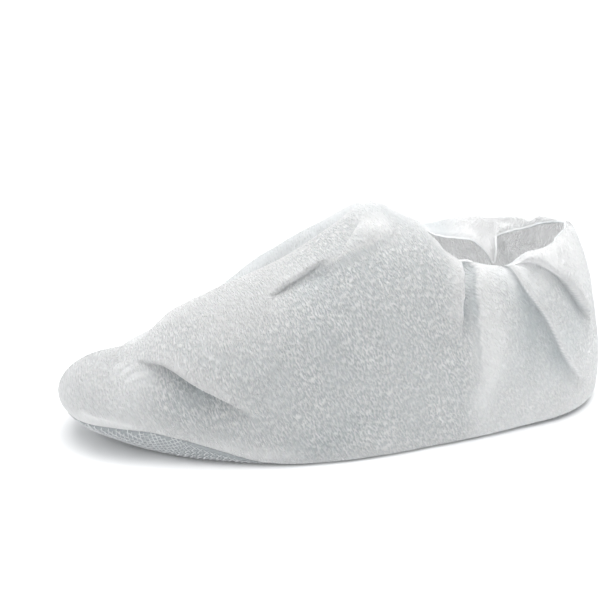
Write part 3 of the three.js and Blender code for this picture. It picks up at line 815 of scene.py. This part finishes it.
def makeSole(s, shift):
    loop, normals = soleLoop(s)
    outer = loop + normals * s["grip"]
    inner = loop + normals * (s["grip"] + s["wall"])
    count, rings = loop.shape[:2]
    points = np.concatenate([outer.reshape(-1, 3), inner.reshape(-1, 3)]) * mm + shift
    low, high = np.arange(2 * count * rings).reshape(2, count, rings).tolist()
    faces = []
    for i in range(count):
        n = (i + 1) % count
        for k in range(rings - 1):
            faces.append((low[i][k], low[n][k], low[n][k + 1], low[i][k + 1]))
            faces.append((high[i][k], high[i][k + 1], high[n][k + 1], high[n][k]))
        faces.append((low[i][-1], low[n][-1], high[n][-1], high[i][-1]))
    under = np.repeat([1.0, 0.0], count * rings)
    piece = addPiece("sole_cloth_sheet", points.tolist(), faces, soleCloth, press=under)
    work = bmesh.new()  # both halves are joined along the spine
    work.from_mesh(piece.data)
    bmesh.ops.remove_doubles(work, verts=work.verts, dist=s["weld"])
    bmesh.ops.dissolve_degenerate(work, edges=work.edges, dist=s["sliver"])
    work.to_mesh(piece.data)
    work.free()
    return piece


soleSheet = makeSole(soleSizes, shift)
print("sole made")

# the anti-slip net on the sole: bars crossed at every place of a grid laid on the sole's flat cut
gripSizes = {"pitch": 3.6, "barWide": 0.45, "barHigh": 0.4, "barSides": 6, "turn": 45, "margin": 0.9,
             "inside": 0.05}
gripTones = {"light": (0.64, 0.65, 0.66, 1), "dark": (0.5, 0.51, 0.52, 1)}


def gripFinish(tones):
    finish, shader, w = newFinish("gripNet", Roughness=0.55)
    place = w.make("ShaderNodeTexCoord", out="Object")
    wear = w.noise(place, scale=260, detail=3).span(0.3, 0.7)
    grain = w.noise(place, scale=2400, detail=1)
    feed(finish, shader, Base_Color=wear.tint(tones["dark"], tones["light"]),
         Normal=w.bump(grain, 0.0001, 0.6))
    return finish


def flatSole(s, shift):
    # the sole laid flat, with each place's own position, the way it faces and the way ahead as worn
    lines, up = soleLoop(dict(soleSizes, gap=s["margin"]))
    run = np.cumsum(np.linalg.norm(np.diff(lines, axis=1), axis=2), 1)
    run = np.concatenate([np.zeros((len(lines), 1)), run], 1)
    out = unit((lines[:, -1] - lines[:, 0]) * (1, 1, 0))
    flat = lines[:, :1] + out[:, None] * run[:, :, None]
    flat[:, :, 2] = 0
    along = unit(np.gradient(lines, axis=1))
    ahead = along * out[:, None, :1] - np.cross(up, along) * out[:, None, 1:2]
    worn = (lines + up * soleSizes["grip"]) * mm + shift
    return flat * mm, worn, -up, ahead


def gripTree(finish, s):
    tree = bpy.data.node_groups.new("gripNet", "GeometryNodeTree")
    sockets = tree.interface
    sockets.new_socket("Geometry", in_out="INPUT", socket_type="NodeSocketGeometry")
    inputs = {}
    for name in ("Length", "Width", "Pitch", "Bar Length", "Bar Width", "Bar Height", "Turn"):
        made = sockets.new_socket(name, in_out="INPUT", socket_type="NodeSocketFloat")
        inputs[name] = made.identifier
    sockets.new_socket("Geometry", in_out="OUTPUT", socket_type="NodeSocketGeometry")
    entry = tree.nodes.new("NodeGroupInput")
    w = Wire(tree)
    given = [Wire(tree, k) for k in entry.outputs[:8]]
    cut, length, width, pitch, barLong, barWide, barHigh, turn = given
    grid = w.make("GeometryNodeMeshGrid", {}, {
        "Size X": length, "Vertices X": length * (pitch ** -1.0) + 1,
        "Size Y": width, "Vertices Y": width * (pitch ** -1.0) + 1}, out="Mesh")
    off = w.make("GeometryNodeProximity", {"target_element": "FACES"}, {0: cut}, out="Distance")
    outside = w.make("FunctionNodeCompare", {"data_type": "FLOAT", "operation": "GREATER_THAN"},
                     {0: off, 1: s["inside"] * mm})
    places = w.make("GeometryNodeDeleteGeometry", {"domain": "POINT"},
                    {"Geometry": grid, "Selection": outside})
    vectors = {"data_type": "FLOAT_VECTOR"}

    def named(name):
        return w.make("GeometryNodeInputNamedAttribute", vectors, {"Name": name})

    def asWorn(name):
        return w.make("GeometryNodeSampleNearestSurface", vectors, {"Mesh": cut, "Value": named(name)})

    for name in ("facing", "ahead"):
        places = w.make("GeometryNodeStoreNamedAttribute", dict(vectors, domain="POINT"),
                        {"Geometry": places, "Name": name + "Here", "Value": asWorn(name)})
    places = w.make("GeometryNodeSetPosition", {}, {"Geometry": places, "Position": asWorn("worn")})
    way = w.make("FunctionNodeAxesToRotation", {"primary_axis": "Z", "secondary_axis": "X"},
                 {0: named("facingHere"), 1: named("aheadHere")})
    bar = w.make("GeometryNodeMeshCylinder", {},
                 {"Vertices": s["barSides"], "Radius": 1.0, "Depth": barLong}, out="Mesh")
    scale = w.make("ShaderNodeCombineXYZ", {}, {"X": barHigh, "Y": barWide * 0.5, "Z": 1.0})
    cross = w.make("GeometryNodeJoinGeometry")
    for side in (1.0, -1.0):
        lying = w.make("ShaderNodeCombineXYZ", {}, {"X": 0.0, "Y": math.pi / 2, "Z": turn * side})
        one = w.make("GeometryNodeTransform", {}, {"Geometry": bar, "Rotation": lying, "Scale": scale})
        tree.links.new(one.socket, cross.socket.node.inputs[0])
    bars = w.make("GeometryNodeInstanceOnPoints", {},
                  {"Points": places, "Instance": cross, "Rotation": way})
    net = w.make("GeometryNodeRealizeInstances", {}, {"Geometry": bars})
    net = w.make("GeometryNodeSetMaterial", {}, {"Geometry": net, "Material": finish})
    leave = tree.nodes.new("NodeGroupOutput")
    tree.links.new(net.socket, leave.inputs[0])
    return tree, inputs


def makeGrip(s, shift):
    flat, worn, facing, ahead = flatSole(s, shift)
    count, rings = flat.shape[:2]
    ids = np.arange(count * rings).reshape(count, rings)
    after = np.roll(ids, -1, 0)
    faces = np.stack([ids[:, :-1], after[:, :-1], after[:, 1:], ids[:, 1:]], 2).reshape(-1, 4)
    mesh = bpy.data.meshes.new("flatSole")
    mesh.from_pydata(flat.reshape(-1, 3).tolist(), [], faces.tolist())
    for name, values in (("worn", worn), ("facing", facing), ("ahead", ahead)):
        mesh.attributes.new(name, "FLOAT_VECTOR", "POINT").data.foreach_set("vector", values.ravel())
    carrier = bpy.data.objects.new("flatSole", mesh)
    scene.collection.objects.link(carrier)
    modifier = carrier.modifiers.new("gripNet", "NODES")
    modifier.node_group, inputs = gripTree(gripFinish(gripTones), s)
    reach = np.abs(flat).reshape(-1, 3).max(0)
    diagonal = s["pitch"] * mm / math.cos(math.radians(s["turn"]))
    sizes = {"Length": 2 * reach[0], "Width": 2 * reach[1], "Pitch": s["pitch"] * mm,
             "Bar Length": diagonal, "Bar Width": s["barWide"] * mm, "Bar Height": s["barHigh"] * mm,
             "Turn": math.radians(s["turn"])}
    for name, value in sizes.items():
        modifier[inputs[name]] = float(value)
    made = carrier.evaluated_get(bpy.context.evaluated_depsgraph_get())
    netMesh = bpy.data.meshes.new_from_object(made)
    bpy.data.objects.remove(carrier)
    netMesh.name = "sole_grip_net"
    piece = bpy.data.objects.new("sole_grip_net", netMesh)
    scene.collection.objects.link(piece)
    return piece


gripNet = makeGrip(gripSizes, shift)
print("grip net made", sum(len(p.vertices) - 2 for p in gripNet.data.polygons), "triangles")

# the roll: half thickness and height, sides, lift over the edge, pleats; slimmer at the peak, with
# painted shade towards the heel, where the light from above falls brightest on it
hemSizes = {"thick": 0.45, "high": 0.9, "sides": 14, "lift": 0.25, "pleats": 96, "pleatDepth": 0.10,
            "slim": 0.35, "slimOver": 25, "grey": 0.7, "greyFrom": 128, "greyOver": 10}
hemCloth = clothFinish("hemCloth", clothTones, emboss=0.0003)


def makeHem(s, shift):
    first = panelSizes["front"]
    rims = []
    for outer, inner in ((leftOuter, leftInner), (rightOuter, rightInner)):
        edge = (outer[first:, -1] + inner[first:, -1]) / 2
        rise = outer[first:, -1] - outer[first:, -4]
        rims.append((edge, unit(rise)))
    edge = np.concatenate([rims[0][0], rims[1][0][-2:0:-1]])
    rise = np.concatenate([rims[0][1], rims[1][1][-2:0:-1]])
    ahead = unit(np.roll(edge, -1, 0) - np.roll(edge, 1, 0))
    rise = unit(rise - ahead * (rise * ahead).sum(1)[:, None])
    across = np.cross(ahead, rise)
    slim = atLeast(s["slim"], smooth((edge[:, :1] - edge[:, 0].min()) / s["slimOver"]))
    centre = edge + rise * s["lift"] * slim
    count = len(edge)
    turnAlong = 2 * np.pi * s["pleats"] * np.arange(count) / count
    points = np.empty((count, s["sides"], 3))
    for k in range(s["sides"]):
        turn = 2 * np.pi * k / s["sides"]
        puff = slim * (1 + s["pleatDepth"] * np.sin(turnAlong + 0.9 * math.sin(turn))[:, None])
        spoke = across * s["thick"] * math.cos(turn) + rise * s["high"] * math.sin(turn)
        points[:, k] = centre + spoke * puff
    ids = np.arange(count * s["sides"]).reshape(count, s["sides"])
    nextRing = np.roll(ids, -1, 0)
    faces = np.stack([ids, nextRing, np.roll(nextRing, -1, 1), np.roll(ids, -1, 1)], 2).reshape(-1, 4)
    # painted shade on the top of the roll towards the heel
    greyer = -s["grey"] * smooth((edge[:, 0] - s["greyFrom"]) / s["greyOver"])
    points = points.reshape(-1, 3) * mm + shift
    return addPiece("elastic_hem_roll", points.tolist(), faces.tolist(), hemCloth,
                    paintedLightAndShade=np.repeat(greyer, s["sides"]))


hemRoll = makeHem(hemSizes, shift)
print("hem made")

places = [(leftPanel, "left_panel", "upper_cloth"), (rightPanel, "right_panel", "upper_cloth"),
          (soleSheet, "sole", "sole_cloth"), (gripNet, "sole", "sole_cloth"),
          (hemRoll, "elastic_hem", "hem_cloth")]
for piece, node, slot in places:
    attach(piece, "root")
    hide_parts(node)
